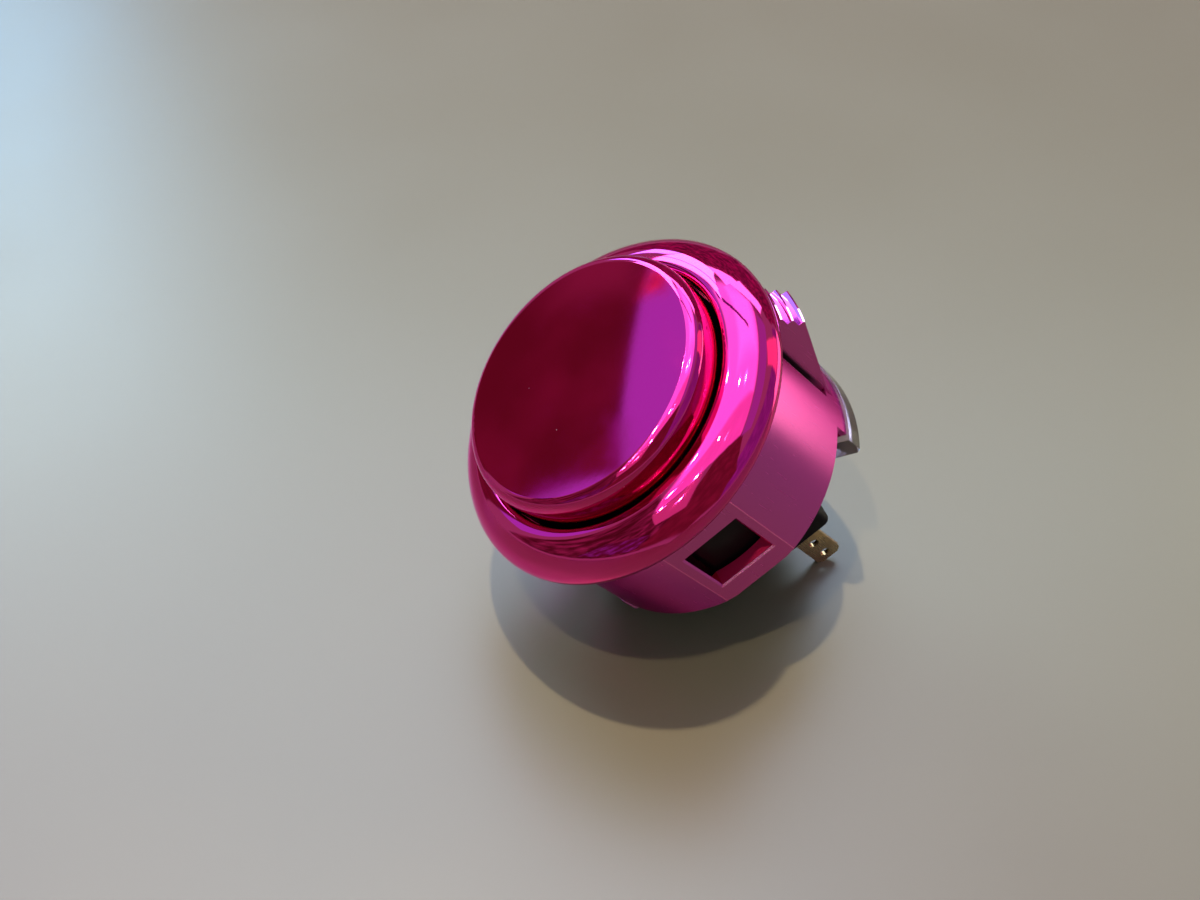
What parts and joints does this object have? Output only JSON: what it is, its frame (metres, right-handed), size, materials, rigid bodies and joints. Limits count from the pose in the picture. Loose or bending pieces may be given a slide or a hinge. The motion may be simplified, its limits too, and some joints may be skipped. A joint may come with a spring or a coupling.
{
  "type": "arcade push button",
  "caption": "Round snap-in arcade push button with a mirror-plated cap and rim, a satin barrel with spring arms, and a rear push switch with blade terminals.",
  "frame": {"origin": "centre of the rim's underside, the plane that seats on the panel", "axes": "+Z out of the panel along the plunger axis, -Y towards one barrel window, the snap arms near +X and -X"},
  "size_m": [0.0362, 0.034, 0.0379],
  "materials": {
    "plating": "pink metal plating over plastic, mirror on the rim and satin on the barrel",
    "cap_plating": "mirror pink metal plating over plastic",
    "black_plastic": "moulded, low gloss",
    "clear_plastic": "clear moulded",
    "switch_plastic": "fine moulded grain",
    "spring_steel": "drawn wire",
    "brass": "stamped",
    "bronze": "rolled strip",
    "contact_silver": "bare silver alloy"
  },
  "bodies": {
    "housing": {"housing": "plating", "switch_carrier": "clear_plastic", "switch_case": "switch_plastic", "switch_cover": "switch_plastic", "return_spring": "spring_steel", "terminal_common": "brass", "terminal_open": "brass", "fixed_contact": "contact_silver"},
    "plunger": {"plunger_cap": "cap_plating", "plunger_skirt": "black_plastic"},
    "actuator": {"switch_actuator": "switch_plastic"},
    "leaf": {"contact_leaf": "bronze", "moving_contact": "contact_silver"}
  },
  "joints": [
    {"name": "plunger_press", "type": "slide", "parent": "housing", "child": "plunger", "axis": [0, 0, -1], "range_m": [0, 0.003], "stiffness_N_per_m": 250, "springref_m": -0.002},
    {"name": "actuator_slide", "type": "slide", "parent": "housing", "child": "actuator", "axis": [0, 0, -1], "range_m": [0, 0.003], "deforming": ["return_spring"]},
    {"name": "leaf_flex", "type": "hinge", "parent": "housing", "child": "leaf", "pos_m": [0.0037, -0.0035, -0.02225], "axis": [1, 0, 0], "range_deg": [0, 5.6]}
  ],
  "couplings": [
    {"joint": "actuator_slide", "follows": "plunger_press", "ratio": 1},
    {"joint": "leaf_flex", "follows": "plunger_press", "rad_per_m": 32.323}
  ]
}
